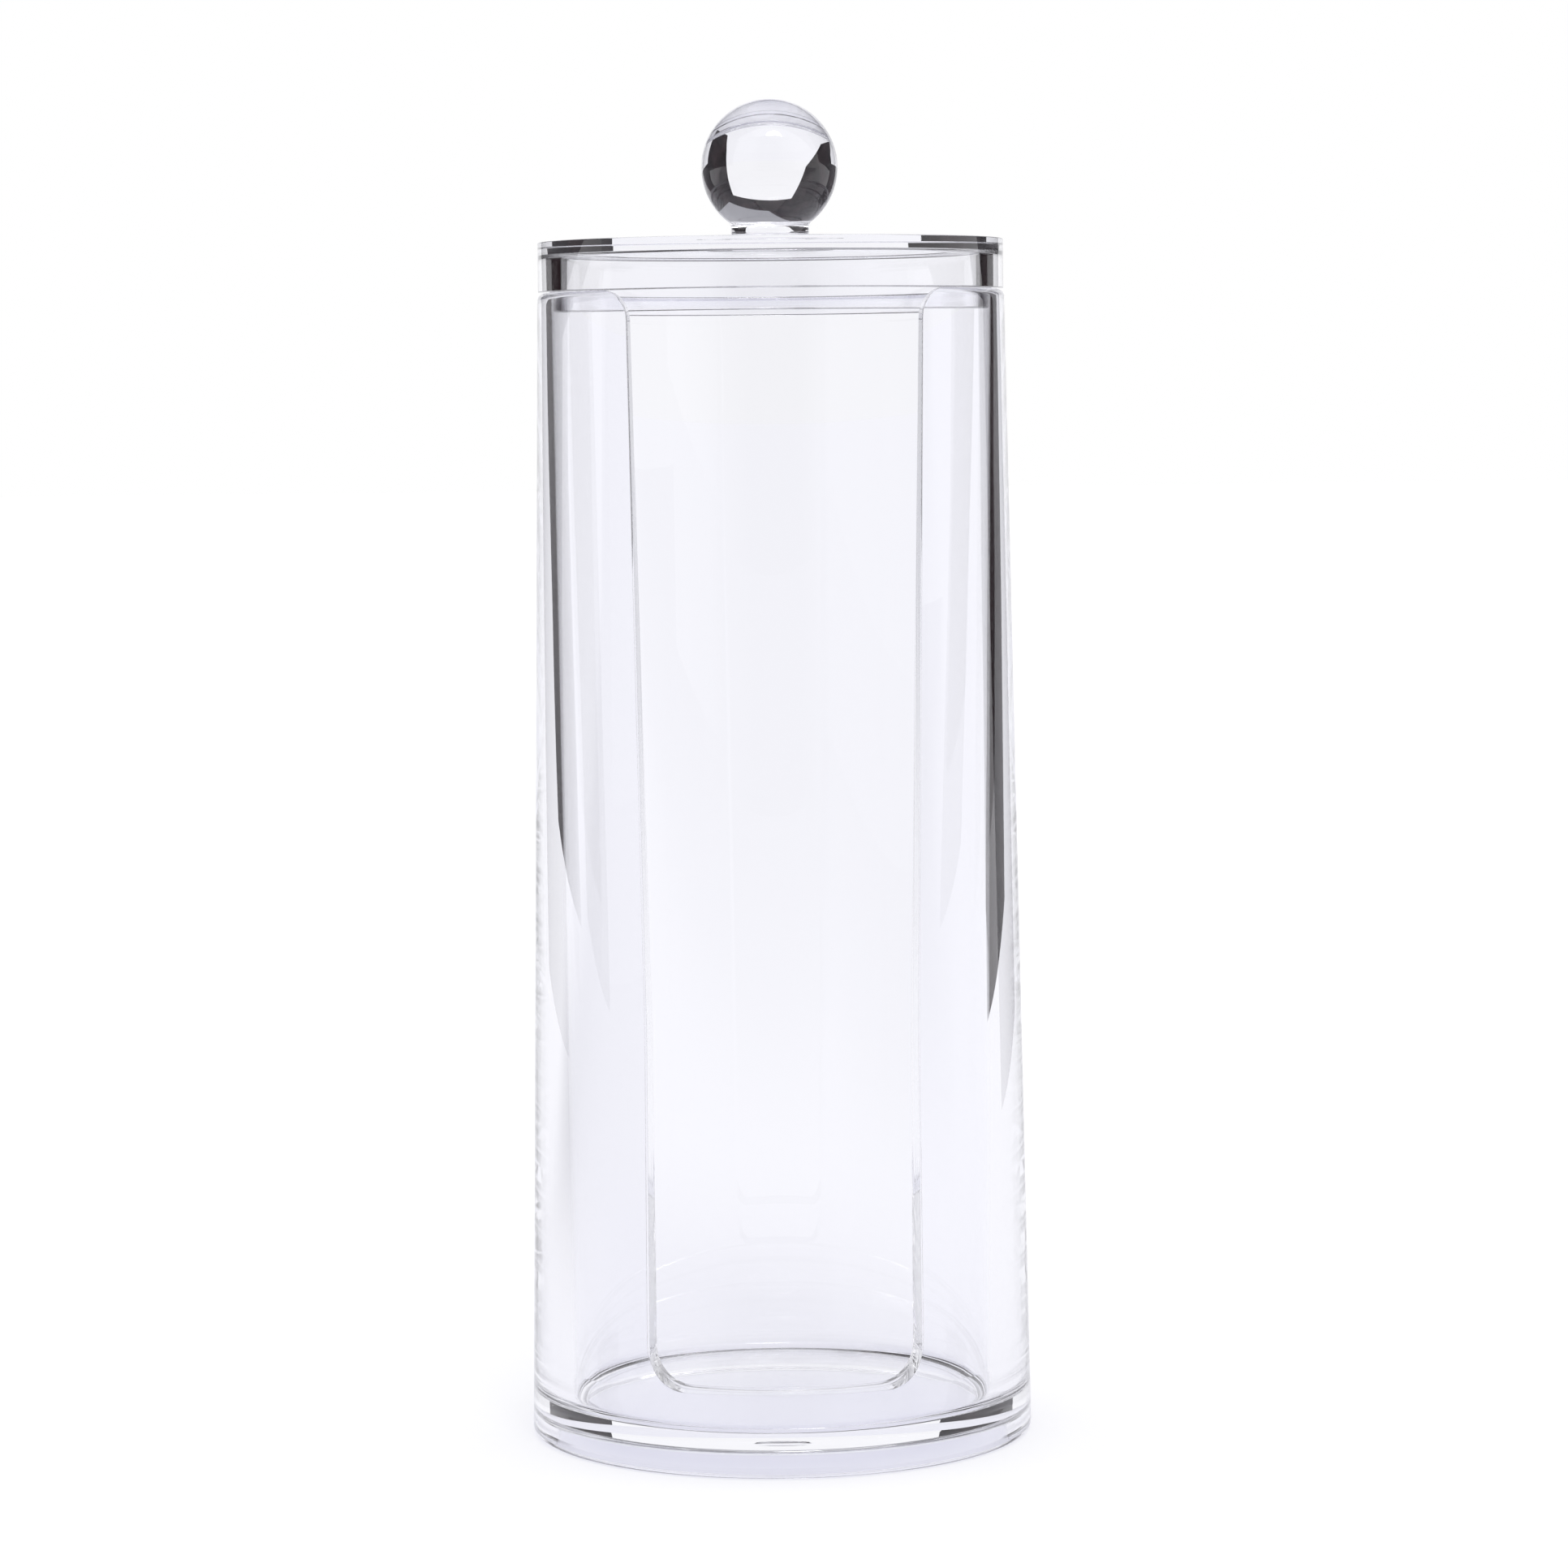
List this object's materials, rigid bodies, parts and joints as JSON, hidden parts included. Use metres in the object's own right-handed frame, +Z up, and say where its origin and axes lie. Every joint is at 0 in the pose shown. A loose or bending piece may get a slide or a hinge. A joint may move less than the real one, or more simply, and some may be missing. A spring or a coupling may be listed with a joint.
{
  "type": "cotton pad holder",
  "caption": "Clear moulded cotton pad holder: a tall round canister with a dispensing slot down its front, a lift-off lid that plugs into its mouth, and a ball knob on the lid.",
  "frame": {"origin": "middle of the foot ring, on the surface that the holder stands on", "axes": "+Z up along the canister's axis, with the slot facing -Y"},
  "size_m": [0.0699, 0.07, 0.1852],
  "materials": {
    "clear_plastic": "crystal clear injection-moulded styrene with a faint cool tint, mirror polished inside and out"
  },
  "bodies": {
    "canister": {"canister": "clear_plastic"},
    "lid": {"lid": "clear_plastic", "knob": "clear_plastic"}
  },
  "joints": [
    {"name": "lid_lift", "type": "slide", "parent": "canister", "child": "lid", "axis": [0, 0, 1], "range_m": [0, 0.08]}
  ]
}
